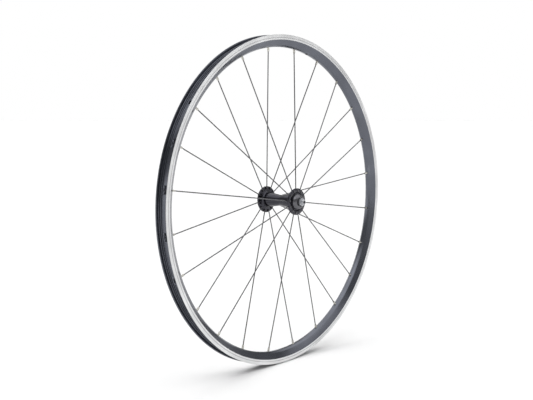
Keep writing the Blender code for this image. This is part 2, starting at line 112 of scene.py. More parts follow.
CHAMBER_SEAT_HALF_WIDTH = 10.5 * MM
NIPPLE_HOLE_RADIUS = 2.3 * MM
ACCESS_HOLE_RADIUS = 3.5 * MM
VALVE_HOLE_RADIUS = 3.3 * MM

# Hub shell
FLANGE_INNER_Y = 33.7 * MM
FLANGE_OUTER_Y = 37.1 * MM
FLANGE_EDGE = 0.8 * MM
DISH_Y = 35.3 * MM
DISH_OUTER_RADIUS = 17.4 * MM
BOSS_RADIUS = 14.3 * MM
WAIST_RADIUS = 10.1 * MM
WAIST_HALF_LENGTH = 2.5 * MM
FLARE_RADIUS = 11.8 * MM
FLARE_Y = 14.5 * MM
NECK_RADIUS = 13.1 * MM
NECK_Y = 29.5 * MM
NECK_FILLET = 4.1 * MM
BARREL_FILLET = 30 * MM
SHELL_BORE_RADIUS = 8.2 * MM
HOLE_CIRCLE_RADIUS = 19.8 * MM
SPOKE_HOLE_RADIUS = 1.42 * MM

# Bearings, cones, locknuts and axle
BALL_COUNT = 10
BALL_RADIUS = 2.38 * MM
BALL_CIRCLE_RADIUS = 8.2 * MM
BALL_Y = 34.5 * MM
RACE_RADIUS = BALL_RADIUS + GAP
CUP_INNER_RADIUS = 7 * MM
CAGE_INNER_RADIUS = 7.9 * MM
CAGE_OUTER_RADIUS = 10.3 * MM
CAGE_BOTTOM_Y = 35.8 * MM
CAGE_TOP_Y = 36.9 * MM
CONE_RADIUS = 7.2 * MM
CONE_RACE_END = math.radians(65)
CUP_RACE_STEPS = 10
CONE_RACE_STEPS = 8
BALL_SEGMENTS = 24
COVER_RADIUS = CONE_HIGH.x
COVER_BOTTOM_Y = BOSS_Y + CHAMFER
COVER_SHOULDER_Y = 39.3 * MM
COVER_DOME_RADIUS = 12.6 * MM
COVER_DOME_Y = 42.6 * MM
COVER_LIP_RADIUS = 9.6 * MM
COVER_LIP_Y = 45 * MM
COVER_RECESS_Y = 44 * MM
COVER_RECESS_RADIUS = 8.9 * MM
COVER_HOLLOW_Y = 42.4 * MM
COVER_HOLLOW_RADIUS = COVER_RADIUS - 1.6 * MM
COVER_RIM = 1 * MM
THREADED_BORE_RADIUS = AXLE_RADIUS + GAP
AXLE_BORE_RADIUS = 2.6 * MM
THREAD_PITCH = 1 * MM
THREAD_DEPTH = 0.35 * MM
THREAD_TURNS = 5
THREAD_START = 0.25 * THREAD_PITCH
THREAD_ROOT = 0.35 * THREAD_PITCH
LOCKNUT_FACE_RADIUS = 6.6 * MM
LOCKNUT_CHAMFER = 0.45 * MM

# Spokes and nipples. Places along a spoke run outwards from the middle of the spoke bed's wall.
SPOKE_RADIUS = 1 * MM
SPOKE_HEAD_RADIUS = 1.9 * MM
SPOKE_HEAD_THICKNESS = 1.2 * MM
SPOKE_CROWN_RADIUS = SPOKE_HEAD_RADIUS * 0.5
SPOKE_DOME_RADIUS = SPOKE_HEAD_RADIUS * 0.85
ELBOW_RADIUS = 1.6 * MM
ELBOW_START_Y = FLANGE_INNER_Y - 0.1 * MM
BED_MIDDLE_RADIUS = BED_RADIUS + RIM_WALL / 2
SPOKE_END = 2.6 * MM
NIPPLE_START = -7.7 * MM
NIPPLE_FLATS_END = -3.6 * MM
NIPPLE_COLLAR_START = -2.9 * MM
NIPPLE_SEAT = 1.7 * MM
NIPPLE_HEAD_TOP = 3.6 * MM
NIPPLE_CROWN_TOP = 4.3 * MM
NIPPLE_BORE_END = 3.2 * MM
NIPPLE_RADIUS = 1.95 * MM
NIPPLE_HALF_FLATS = 1.6 * MM
NIPPLE_HEAD_RADIUS = 3 * MM
NIPPLE_CROWN_RADIUS = 2.1 * MM
NIPPLE_BORE_RADIUS = SPOKE_RADIUS + GAP

# Turns that lay a circle made across Z across the axle's line, or across the +X radius
ACROSS_AXLE = Matrix.Rotation(-math.pi / 2, 4, "X")
ACROSS_RADIUS = Matrix.Rotation(math.pi / 2, 4, "Y")
ELBOW_CENTRE = Vector((HOLE_CIRCLE_RADIUS + ELBOW_RADIUS, ELBOW_START_Y, 0))

# Each finish: metallic, roughness, roughness spread, grain per metre, grain height in mm, lathe marks per
# metre, mark height in mm, edge wear, coat
FINISHES = {
    "anodised_rim": (0.9, 0.18, 0.04, 900, 0.001, 0, 0, 0.25, 0),
    "brake_track": (1.0, 0.4, 0.06, 700, 0.0003, 2600, 0.0006, 0, 0),
    "wear_groove": (0.9, 0.5, 0.08, 700, 0.0005, 2600, 0.0006, 0, 0),
    "hub_gloss": (0.9, 0.16, 0.04, 600, 0.0008, 0, 0, 0.2, 0.3),
    "dust_cover": (0.8, 0.26, 0.06, 1500, 0.001, 0, 0, 0.15, 0),
    "drawn_wire": (1.0, 0.28, 0.06, 1200, 0.0008, 0, 0, 0, 0),
    "nipple_plate": (1.0, 0.3, 0.08, 1500, 0.001, 0, 0, 0.3, 0),
    "zinc_plate": (1.0, 0.32, 0.08, 1800, 0.0015, 1500, 0.001, 0.4, 0),
    "ground_steel": (1.0, 0.18, 0.04, 1500, 0.0006, 3000, 0.001, 0, 0),
    "extruded_sleeve": (1.0, 0.45, 0.1, 500, 0.003, 0, 0, 0, 0),
}
COAT_ROUGHNESS = 0.12
FINE_DETAIL = 3.0
BROAD_DETAIL = 4.0
BROAD_SCALE = 22.0
DARKEST_SHADE = 0.86
LIGHTEST_SHADE = 1.1
BARE_GAIN = 2
BARE_LIFT = 0.1
MOTTLE_RANGE = (0.3, 0.7)
EDGE_RANGE = (0.52, 0.62)
WEAR_DETAIL = 3.0
WANDER_SCALE = 40.0
WANDER_DETAIL = 2.0

# The stage. A light is its place and its size. A sky range is where one strength gives way to the next, as a
# share of the way towards +Y or +Z.
KEY_LIGHT = ((-1.6, -1.2, 2.2), 2.0)
FILL_LIGHT = ((1.5, -2.0, 1.0), 1.6)
NEAR_TO_FAR = (-0.2, 0.5)
WALL_TOP = (0.12, 0.3)
CEILING_EDGE = (0.5, 0.75)
SENSOR_WIDTH = 36
FLOOR_RADIUS = 40
FLOOR_SIDES = 64
FLOOR_ROUGHNESS = 0.9
FLOOR_SPECULAR = 0.1


def colour_property(name, description, default):
    return FloatVectorProperty(
        name=name, description=description, subtype="COLOR", size=3, min=0, max=1, default=default
    )


class WheelShapes(bpy.types.PropertyGroup):
    """How finely the pieces are made, and the brake track's wear groove."""

    rim_steps: IntProperty(name="Rim steps", description="Segments round the rim", default=240, min=48)
    hub_steps: IntProperty(name="Hub steps", description="Segments round the hub", default=96, min=24)
    wire_sides: IntProperty(name="Wire sides", description="Sides of a spoke and nipple", default=16, min=8)
    elbow_steps: IntProperty(name="Elbow steps", description="Segments of a spoke's bend", default=6, min=2)
    fillet_steps: IntProperty(
        name="Fillet steps", description="Segments of a rounded corner", default=4, min=1
    )
    groove_radius: FloatProperty(
        name="Groove radius",
        description="Radius of the wear groove's middle",
        default=RIM_RADIUS - 5.6 * MM,
        unit="LENGTH",
    )
    groove_width: FloatProperty(
        name="Groove width", description="Width of the wear groove", default=1.1 * MM, unit="LENGTH"
    )
    groove_depth: FloatProperty(
        name="Groove depth", description="Depth of the wear groove", default=0.3 * MM, unit="LENGTH"
    )


class WheelColours(bpy.types.PropertyGroup):
    """The colour of each finish."""

    anodised_rim: colour_property("Rim", "Anodised rim", (0.125, 0.132, 0.155))
    brake_track: colour_property("Track", "Machined brake track", (0.76, 0.765, 0.77))
    wear_groove: colour_property("Groove", "Wear groove", (0.5, 0.5, 0.51))
    hub_gloss: colour_property("Hub shell", "Gloss hub shell", (0.036, 0.036, 0.046))
    dust_cover: colour_property("Dust cover", "Dust covers and cones", (0.13, 0.13, 0.142))
    drawn_wire: colour_property("Spokes", "Drawn spoke wire", (0.13, 0.13, 0.135))
    nipple_plate: colour_property("Nipples", "Plated nipples", (0.5, 0.49, 0.45))
    zinc_plate: colour_property("Axle and locknuts", "Zinc plate", (0.42, 0.43, 0.455))
    ground_steel: colour_property("Bearings", "Ground bearing steel", (0.55, 0.55, 0.56))
    extruded_sleeve: colour_property("Sleeve", "Extruded aluminium", (0.6, 0.6, 0.61))


class WheelStage(bpy.types.PropertyGroup):
    """The camera, lights and floor."""

    azimuth: FloatProperty(
        name="Azimuth", description="Camera's turn about Z", default=math.radians(-50.31), subtype="ANGLE"
    )
    elevation: FloatProperty(
        name="Elevation", description="Camera's height angle", default=math.radians(5.62), subtype="ANGLE"
    )
    distance: FloatProperty(
        name="Distance", description="Camera to wheel's centre", default=1.67, unit="LENGTH"
    )
    yaw: FloatProperty(
        name="Yaw", description="Camera's turn off the centre", default=math.radians(-0.914), subtype="ANGLE"
    )
    pitch: FloatProperty(
        name="Pitch", description="Camera's tilt off the centre", default=math.radians(0.022), subtype="ANGLE"
    )
    lens: FloatProperty(name="Lens", description="Focal length", default=61.82, min=1, unit="CAMERA")
    key_power: FloatProperty(
        name="Key light", description="Power of the light at the upper left", default=7, unit="POWER"
    )
    fill_power: FloatProperty(
        name="Fill light", description="Power of the light at the right", default=5, unit="POWER"
    )
    near_wall_strength: FloatProperty(
        name="Near wall", description="Light from behind the camera", default=0.55, min=0
    )
    far_wall_strength: FloatProperty(
        name="Far wall", description="Light from behind the wheel", default=1.3, min=0
    )
    dark_strength: FloatProperty(name="Dark band", description="Light above the walls", default=0.3, min=0)
    overhead_strength: FloatProperty(name="Overhead", description="Light from above", default=1.3, min=0)
    floor_colour: colour_property("Floor", "Pale floor", (0.93, 0.93, 0.93))


# Outlines and turned shapes


def mirrored(half_outline):
    """A closed outline from its +Y half, whose ends face their own mirror images across y = 0."""
    return half_outline + [(radius, -y, fillet) for radius, y, fillet in reversed(half_outline)]


def arc(centre, radius, start, end, steps):
    """Corners along an arc, with angles from the +radius direction towards +y."""
    corners = []
    for i in range(steps + 1):
        angle = start + (end - start) * i / steps
        corners.append((centre[0] + radius * math.cos(angle), centre[1] + radius * math.sin(angle), 0))
    return corners


def rounded(corners, steps):
    """The points of a closed outline, with an arc in place of each corner that has a fillet."""
    points = []
    for i, (radius, y, fillet) in enumerate(corners):
        corner = Vector((radius, y))
        if not fillet:
            points.append(corner)
            continue
        back = (Vector(corners[i - 1][:2]) - corner).normalized()
        ahead = (Vector(corners[(i + 1) % len(corners)][:2]) - corner).normalized()
        half_angle = back.angle(ahead) / 2
        reach = fillet / math.tan(half_angle)
        centre = corner + (back + ahead).normalized() * fillet / math.sin(half_angle)
        first = corner + back * reach - centre
        last = corner + ahead * reach - centre
        for step in range(steps + 1):
            points.append(centre + first.slerp(last, step / steps).normalized() * fillet)
    return points


def turned(corners, steps, fillet_steps):
    """A bmesh of a closed outline turned once round the axle's line."""
    bm = bmesh.new()
    points = [bm.verts.new((point.x, point.y, 0)) for point in rounded(corners, fillet_steps)]
    edges = [bm.edges.new((points[i - 1], points[i])) for i in range(len(points))]
    bmesh.ops.spin(
        bm, geom=points + edges, axis=(0, 1, 0), cent=(0, 0, 0), angle=FULL_TURN, steps=steps, use_merge=True
    )
    bmesh.ops.recalc_face_normals(bm, faces=bm.faces)
    return bm


def turned_to(angle):
    return Matrix.Rotation(-angle, 4, "Y")


def to_side(side):
    """The turn that takes a piece made at +Y to its own side."""
    return Matrix.Rotation(0 if side == "left" else math.pi, 4, "Z")


def spoke_angle(index):
    return (index + 0.5) * SPOKE_PITCH


def spoke_matrix(index):
    """The turn from angle 0 on the +Y side to a spoke's place. Every other spoke is on -Y."""
    return turned_to(spoke_angle(index)) @ Matrix.Rotation(math.pi if index % 2 else 0, 4, "X")


def shade(mesh):
    """Smooths a mesh's faces and keeps its sharp edges sharp."""
    mesh.shade_smooth()
    mesh.set_sharp_from_angle(angle=SMOOTHED_UP_TO)


def add_piece(name, bm, materials):
    """An object at the origin from a bmesh, smooth but for its sharp edges."""
    mesh = bpy.data.meshes.new(name)
    bm.to_mesh(mesh)
    bm.free()
    for material in materials:
        mesh.materials.append(material)
    shade(mesh)
    piece = bpy.data.objects.new(name, mesh)
    bpy.context.scene.collection.objects.link(piece)
    return piece


def carve(piece, tool_bm, operation):
    """Applies one Boolean to a piece with a shape that isn't kept."""
    tool = add_piece("tool", tool_bm, [])
    modifier = piece.modifiers.new("carve", "BOOLEAN")
    modifier.operation = operation
    modifier.solver = "EXACT"
    modifier.object = tool
    graph = bpy.context.evaluated_depsgraph_get()
    mesh = bpy.data.meshes.new_from_object(piece.evaluated_get(graph))
    piece.modifiers.clear()
    piece.data = mesh
    bpy.data.objects.remove(tool)
    shade(mesh)


def drills(places, length, radius, sides):
    """A bmesh of round bars, each starting at a matrix's origin and running along its Z."""
    bm = bmesh.new()
    for place in places:
        middle = place @ Matrix.Translation((0, 0, length / 2))
        bmesh.ops.create_cone(
            bm, cap_ends=True, segments=sides, radius1=radius, radius2=radius, depth=length, matrix=middle
        )
    return bm


def finish_piece(piece, body, slot, *nodes):
    """Lets a piece ride on its body in place of its frame parts. The slot argument is not used."""
    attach(piece, body)
    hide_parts(*nodes)


# A spoke's own line


def spoke_tilt():
    """The angle between a spoke and the wheel's plane: its line is tangent to the elbow's circle."""
    reach = BED_MIDDLE_RADIUS - ELBOW_CENTRE.x
    distance = math.hypot(reach, ELBOW_CENTRE.y)
    return math.atan2(ELBOW_CENTRE.y, reach) - math.asin(ELBOW_RADIUS / distance)


def spoke_direction():
    return Vector((math.cos(spoke_tilt()), -math.sin(spoke_tilt()), 0))


def along_spoke(distance):
    return Vector((BED_MIDDLE_RADIUS, 0, 0)) + spoke_direction() * distance


def across_spoke():
    """Turns a circle that lies across Z to lie across a spoke's line."""
    return Matrix.Rotation(-spoke_tilt(), 4, "Z") @ ACROSS_RADIUS @ Matrix.Rotation(math.pi / 2, 4, "Z")


def circle(bm, radius, sides, place):
    bmesh.ops.create_circle(bm, cap_ends=False, segments=sides, radius=radius, matrix=place)
    return list(bm.edges)


def extend(bm, ring, offset, scale=1.0):
    """Extrudes a ring of edges by an offset, scales it about its centre and returns the new ring."""
    made = bmesh.ops.extrude_edge_only(bm, edges=ring)["geom"]
    points = [item for item in made if isinstance(item, bmesh.types.BMVert)]
    bmesh.ops.translate(bm, verts=points, vec=offset)
    centre = sum((point.co for point in points), Vector()) / len(points)
    bmesh.ops.scale(bm, verts=points, vec=(scale, scale, scale), space=Matrix.Translation(-centre))
    return [item for item in made if isinstance(item, bmesh.types.BMEdge) and item.is_boundary]


# Materials


def put(tree, kind, inputs=None, **settings):
    """Adds a node, with its settings, and fills its inputs from values or from other nodes' sockets."""
    node = tree.nodes.new(kind)
    for name, value in settings.items():
        setattr(node, name, value)
    for key, value in (inputs or {}).items():
        if isinstance(value, bpy.types.NodeSocket):
            tree.links.new(value, node.inputs[key])
        else:
            node.inputs[key].default_value = value
    return node


def sum_or_product(tree, operation, first, second):
    """Two values added or multiplied."""
    return put(tree, "ShaderNodeMath", {0: first, 1: second}, operation=operation).outputs[0]


def spread_out(tree, value, limits):
    """A value stretched from its limits to 0 and 1."""
    inputs = {"Value": value, "From Min": limits[0], "From Max": limits[1]}
    return put(tree, "ShaderNodeMapRange", inputs).outputs["Result"]


def smooth_step(tree, value, limits, low, high):
    """A value that goes smoothly from low to high between two limits."""
    step = put(
        tree,
        "ShaderNodeMapRange",
        {"Value": value, "From Min": limits[0], "From Max": limits[1], "To Min": low, "To Max": high},
        interpolation_type="SMOOTHSTEP",
    )
    return step.outputs["Result"]


def new_group(name, inputs):
    """A node group with number inputs and one output, Mask."""
    group = bpy.data.node_groups.new(name, "ShaderNodeTree")
    for label, default in inputs.items():
        socket = group.interface.new_socket(label, in_out="INPUT", socket_type="NodeSocketFloat")
        socket.default_value = default
    group.interface.new_socket("Mask", in_out="OUTPUT", socket_type="NodeSocketFloat")
    return group, put(group, "NodeGroupInput").outputs


def mottle_group():
    """Uneven grain in three dimensions."""
    group, given = new_group("mottle", {"Scale": 100.0, "Detail": 4.0})
    place = put(group, "ShaderNodeTexCoord").outputs["Object"]
    noise = put(
        group, "ShaderNodeTexNoise", {"Vector": place, "Scale": given["Scale"], "Detail": given["Detail"]}
    )
    put(group, "NodeGroupOutput", {"Mask": spread_out(group, noise.outputs["Fac"], MOTTLE_RANGE)})
    return group


def lathe_group():
    """Fine rings round the axle's line, a little uneven along their length."""
    group, given = new_group("lathe_marks", {"Per Metre": 2000.0, "Waviness": 0.15})
    place = put(group, "ShaderNodeTexCoord").outputs["Object"]
    flat = put(group, "ShaderNodeVectorMath", {0: place, 1: (1, 0, 1)}, operation="MULTIPLY")
    radius = put(group, "ShaderNodeVectorMath", {0: flat.outputs["Vector"]}, operation="LENGTH")
    split = put(group, "ShaderNodeSeparateXYZ", {0: place})
    across = sum_or_product(group, "ADD", radius.outputs["Value"], split.outputs["Y"])
    count = sum_or_product(group, "MULTIPLY", across, given["Per Metre"])
    wander = put(
        group, "ShaderNodeTexNoise", {"Vector": place, "Scale": WANDER_SCALE, "Detail": WANDER_DETAIL}
    )
    shift = sum_or_product(group, "MULTIPLY", wander.outputs["Fac"], given["Waviness"])
    line = sum_or_product(group, "ADD", count, shift)
    rings = put(group, "ShaderNodeTexNoise", {"W": line, "Scale": 1.0}, noise_dimensions="1D")
    put(group, "NodeGroupOutput", {"Mask": rings.outputs["Fac"]})
    return group


def wear_group():
    """Patchy rubbing along outward edges."""
    group, given = new_group("edge_wear", {"Amount": 0.3, "Scale": 260.0})
    edge = put(group, "ShaderNodeNewGeometry").outputs["Pointiness"]
    near_edge = spread_out(group, edge, EDGE_RANGE)
    place = put(group, "ShaderNodeTexCoord").outputs["Object"]
    noise = put(
        group, "ShaderNodeTexNoise", {"Vector": place, "Scale": given["Scale"], "Detail": WEAR_DETAIL}
    )
    patches = sum_or_product(group, "MULTIPLY", near_edge, noise.outputs["Fac"])
    put(group, "NodeGroupOutput", {"Mask": sum_or_product(group, "MULTIPLY", patches, given["Amount"])})
    return group


GROUP_MAKERS = {"mottle": mottle_group, "lathe_marks": lathe_group, "edge_wear": wear_group}


def mask(tree, group_name, **values):
    """A node group placed in a material, with its own values. Returns its Mask."""
    group = bpy.data.node_groups.get(group_name) or GROUP_MAKERS[group_name]()
    inputs = {label.replace("_", " "): value for label, value in values.items()}
    node = put(tree, "ShaderNodeGroup", node_tree=group)
    for label, value in inputs.items():
        node.inputs[label].default_value = value
    return node.outputs["Mask"]


def weighted(tree, *pairs):
    """The sum of masks, each times its own weight."""
    total = 0.0
    for socket, weight in pairs:
        inputs = {0: socket, 1: weight, 2: total}
        total = put(tree, "ShaderNodeMath", inputs, operation="MULTIPLY_ADD").outputs[0]
    return total


def blend(tree, share, first, second):
    """A colour between two others."""
    return put(tree, "ShaderNodeMix", {0: share, 6: first, 7: second}, data_type="RGBA").outputs[2]


finished = {}


def finish(name):
    """The material of a finish, made once."""
    if name in finished:
        return finished[name]
    metallic, roughness, spread, grain, grain_height, marks, mark_height, wear, coat = FINISHES[name]
    colour = Vector(getattr(bpy.context.scene.wheel_colours, name))
    material = bpy.data.materials.new(name)
    finished[name] = material
    material.use_nodes = True
    tree = material.node_tree
    shader = tree.nodes["Principled BSDF"]
    shader.inputs["Metallic"].default_value = metallic
    shader.inputs["Coat Weight"].default_value = coat
    shader.inputs["Coat Roughness"].default_value = COAT_ROUGHNESS
    fine = mask(tree, "mottle", Scale=grain, Detail=FINE_DETAIL)
    broad = mask(tree, "mottle", Scale=BROAD_SCALE, Detail=BROAD_DETAIL)
    tint = blend(tree, broad, (*colour * DARKEST_SHADE, 1), (*colour * LIGHTEST_SHADE, 1))
    if wear:
        bare = tuple(min(1, channel * BARE_GAIN + BARE_LIFT) for channel in colour)
        tint = blend(tree, mask(tree, "edge_wear", Amount=wear), tint, (*bare, 1))
    rough = weighted(tree, (broad, spread), (fine, spread / 2))
    total_rough = sum_or_product(tree, "ADD", rough, roughness - spread)
    reliefs = [(fine, grain_height)]
    if marks:
        reliefs.append((mask(tree, "lathe_marks", Per_Metre=marks), mark_height))
    height = weighted(tree, *reliefs)
    bump = put(tree, "ShaderNodeBump", {"Height": height, "Strength": 1.0, "Distance": MM})
    tree.links.new(tint, shader.inputs["Base Color"])
    tree.links.new(total_rough, shader.inputs["Roughness"])
    tree.links.new(bump.outputs["Normal"], shader.inputs["Normal"])
    return material


# Pieces


def rim_corners(shapes):
    lip_inner = RIM_HALF_WIDTH - LIP_THICKNESS
    half_groove = shapes.groove_width / 2
    groove_y = RIM_HALF_WIDTH - shapes.groove_depth
    slope = shapes.groove_depth / 2
    return mirrored(
        [
            (BED_RADIUS, BED_HALF_WIDTH, SEAT_FILLET),
            (BED_SHOULDER_RADIUS, BED_SHOULDER_HALF_WIDTH, SHOULDER_FILLET),
            (TRACK_BOTTOM_RADIUS, RIM_HALF_WIDTH, EDGE_FILLET),
            (shapes.groove_radius - half_groove, RIM_HALF_WIDTH, 0),
            (shapes.groove_radius - half_groove + slope, groove_y, 0),
            (shapes.groove_radius + half_groove - slope, groove_y, 0),
            (shapes.groove_radius + half_groove, RIM_HALF_WIDTH, 0),
            (RIM_RADIUS, RIM_HALF_WIDTH, EDGE_FILLET),
            (RIM_RADIUS, lip_inner, SMALL_FILLET),
            (HOOK_RADIUS, lip_inner - HOOK_REACH, EDGE_FILLET),
            (HOOK_RADIUS - LIP_THICKNESS, lip_inner, EDGE_FILLET),
            (BEAD_SEAT_RADIUS, lip_inner - CHAMFER, SEAT_FILLET),
            (BEAD_SEAT_RADIUS, WELL_HALF_WIDTH + RIM_WALL / 2, EDGE_FILLET),
            (WELL_FLOOR_RADIUS, WELL_HALF_WIDTH, WELL_FILLET),
        ]
    )


def chamber_corners():
    """The hollow inside the rim's walls."""
    seat_floor = BEAD_SEAT_RADIUS - RIM_WALL
    return mirrored(
        [
            (CHAMBER_BOTTOM_RADIUS, CHAMBER_BOTTOM_HALF_WIDTH, EDGE_FILLET),
            (TRACK_BOTTOM_RADIUS - RIM_WALL, CHAMBER_SIDE_HALF_WIDTH, EDGE_FILLET),
            (seat_floor, CHAMBER_SEAT_HALF_WIDTH, 0),
            (seat_floor, WELL_HALF_WIDTH + RIM_WALL, 0),
            (WELL_FLOOR_RADIUS - RIM_WALL, WELL_HALF_WIDTH, 0),
        ]
    )


def rim_holes(shapes):
    """Nipple holes in the spoke bed, access holes in the tyre well's floor, and the valve hole."""
    nipple_start = Matrix.Translation(along_spoke(-RIM_WALL)) @ across_spoke()
    access_start = Matrix.Translation((WELL_FLOOR_RADIUS - 2 * RIM_WALL, 0, 0)) @ ACROSS_RADIUS
    valve_start = Matrix.Translation((BED_RADIUS - RIM_WALL, 0, 0)) @ ACROSS_RADIUS
    spokes = range(SPOKE_COUNT)
    nipple_places = [spoke_matrix(index) @ nipple_start for index in spokes]
    access_places = [turned_to(spoke_angle(index)) @ access_start for index in spokes]
    valve_length = WELL_FLOOR_RADIUS - BED_RADIUS + 2 * RIM_WALL
    sides = shapes.wire_sides
    return (
        drills(nipple_places, 2 * RIM_WALL, NIPPLE_HOLE_RADIUS, sides),
        drills(access_places, 3 * RIM_WALL, ACCESS_HOLE_RADIUS, sides),
        drills([turned_to(VALVE_ANGLE) @ valve_start], valve_length, VALVE_HOLE_RADIUS, sides),
    )


def rim_finish_index(centre, shapes):
    """0 for anodised faces, 1 for the brake track and 2 for its wear groove."""
    radius = math.hypot(centre.x, centre.z)
    depth = RIM_HALF_WIDTH - abs(centre.y)
    if radius < TRACK_BOTTOM_RADIUS or depth > CHAMFER:
        return 0
    in_groove = abs(radius - shapes.groove_radius) < shapes.groove_width / 2
    return 2 if in_groove and depth > shapes.groove_depth / 4 else 1


class WHEEL_OT_rim(bpy.types.Operator):
    """Makes the rim, with its chamber, holes, machined brake tracks and wear grooves"""

    bl_idname = "wheel.make_rim"
    bl_label = "Make rim"

    def execute(self, context):
        shapes = context.scene.wheel_shapes
        finishes = [finish("anodised_rim"), finish("brake_track"), finish("wear_groove")]
        rim_bm = turned(rim_corners(shapes), shapes.rim_steps, shapes.fillet_steps)
        rim = add_piece("rim_shell", rim_bm, finishes)
        for face in rim.data.polygons:
            face.material_index = rim_finish_index(face.center, shapes)
        carve(rim, turned(chamber_corners(), shapes.rim_steps, shapes.fillet_steps), "DIFFERENCE")
        for holes in rim_holes(shapes):
            carve(rim, holes, "DIFFERENCE")
        finish_piece(rim, "wheel", "rim", "rim")
        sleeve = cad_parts["joint_sleeve"]
        for slot in sleeve.material_slots:
            slot.material = finish("extruded_sleeve")
        return {"FINISHED"}


def shell_corners():
    seat_radius = CUP_HIGH.x + GAP
    bore_end = CUP_LOW.y - GAP
    return mirrored(
        [
            (WAIST_RADIUS, WAIST_HALF_LENGTH, BARREL_FILLET),
            (FLARE_RADIUS, FLARE_Y, BARREL_FILLET),
            (NECK_RADIUS, NECK_Y, 0),
            (NECK_RADIUS, FLANGE_INNER_Y, NECK_FILLET),
            (FLANGE_RADIUS, FLANGE_INNER_Y, FLANGE_EDGE),
            (FLANGE_RADIUS, FLANGE_OUTER_Y, FLANGE_EDGE),
            (DISH_OUTER_RADIUS, FLANGE_OUTER_Y, CHAMFER),
            (DISH_OUTER_RADIUS - FLANGE_OUTER_Y + DISH_Y, DISH_Y, CHAMFER),
            (BOSS_RADIUS, DISH_Y, SMALL_FILLET),
            (BOSS_RADIUS, BOSS_Y, CHAMFER),
            (seat_radius, BOSS_Y, FINE_FILLET),
            (seat_radius, bore_end, 0),
            (SHELL_BORE_RADIUS, bore_end, 0),
        ]
    )


class WHEEL_OT_hub_shell(bpy.types.Operator):
    """Makes the waisted hub shell with its two drilled flanges"""

    bl_idname = "wheel.make_hub_shell"
    bl_label = "Make hub shell"

    def execute(self, context):
        shapes = context.scene.wheel_shapes
        shell = add_piece(
            "hub_body", turned(shell_corners(), shapes.hub_steps, shapes.fillet_steps), [finish("hub_gloss")]
        )
        flange = FLANGE_OUTER_Y - FLANGE_INNER_Y
        start = Matrix.Translation((HOLE_CIRCLE_RADIUS, FLANGE_INNER_Y - flange / 2, 0)) @ ACROSS_AXLE
        places = [spoke_matrix(index) @ start for index in range(SPOKE_COUNT)]
        carve(shell, drills(places, 2 * flange, SPOKE_HOLE_RADIUS, shapes.wire_sides), "DIFFERENCE")
        finish_piece(shell, "wheel", "hub_shell", "hub_shell")
        return {"FINISHED"}


def cup_corners():
    race_middle = (BALL_CIRCLE_RADIUS, BALL_Y)
    return (
        [
            (CUP_HIGH.x, CUP_LOW.y, CHAMFER),
            (CUP_HIGH.x, CUP_HIGH.y, CHAMFER / 2),
            (BALL_CIRCLE_RADIUS + RACE_RADIUS, CUP_HIGH.y, 0),
        ]
        + arc(race_middle, RACE_RADIUS, 0, -math.pi / 2, CUP_RACE_STEPS)
        + [
            (CUP_INNER_RADIUS, BALL_Y - RACE_RADIUS, 0),
            (CUP_INNER_RADIUS, CUP_LOW.y, 0),
        ]
    )


def cone_corners():
    """The cone's nose, its race, and the domed dust cover with a recess round the locknut."""
    race_middle = (BALL_CIRCLE_RADIUS, BALL_Y)
    return (
        [
            (THREADED_BORE_RADIUS, CONE_LOW.y, 0),
            (BALL_CIRCLE_RADIUS - RACE_RADIUS, CONE_LOW.y, 0),
        ]
        + arc(race_middle, RACE_RADIUS, math.pi, math.pi - CONE_RACE_END, CONE_RACE_STEPS)
        + [
            (CONE_RADIUS, COVER_HOLLOW_Y, 0),
            (COVER_HOLLOW_RADIUS, COVER_BOTTOM_Y + COVER_RIM, SMALL_FILLET),
            (COVER_RADIUS - COVER_RIM, COVER_BOTTOM_Y, 0),
            (COVER_RADIUS, COVER_BOTTOM_Y, FINE_FILLET),
            (COVER_RADIUS, COVER_SHOULDER_Y, COVER_FILLET),
            (COVER_DOME_RADIUS, COVER_DOME_Y, DOME_FILLET),
            (COVER_LIP_RADIUS, COVER_LIP_Y, EDGE_FILLET),
            (COVER_RECESS_RADIUS, COVER_LIP_Y, FINE_FILLET),
            (COVER_RECESS_RADIUS, COVER_RECESS_Y, 0),
            (CONE_RADIUS, COVER_RECESS_Y, 0),
            (CONE_RADIUS, CONE_HIGH.y, CHAMFER / 2),
            (THREADED_BORE_RADIUS, CONE_HIGH.y, 0),
        ]
    )


def cage_bmesh(shapes):
    """A ring of balls and the retainer that holds them."""
    bm = turned(
        [
            (CAGE_INNER_RADIUS, CAGE_BOTTOM_Y, CHAMFER / 2),
            (CAGE_OUTER_RADIUS, CAGE_BOTTOM_Y, CHAMFER / 2),
            (CAGE_OUTER_RADIUS, CAGE_TOP_Y, CHAMFER / 2),
            (CAGE_INNER_RADIUS, CAGE_TOP_Y, CHAMFER / 2),
        ],
        shapes.hub_steps,
        shapes.fillet_steps,
    )
    ball_place = Matrix.Translation((BALL_CIRCLE_RADIUS, BALL_Y, 0))
    for index in range(BALL_COUNT):
        place = turned_to(FULL_TURN * index / BALL_COUNT) @ ball_place
        bmesh.ops.create_uvsphere(
            bm,
            u_segments=BALL_SEGMENTS,
            v_segments=BALL_SEGMENTS // 2,
            radius=BALL_RADIUS,
            matrix=place,
        )
    return bm


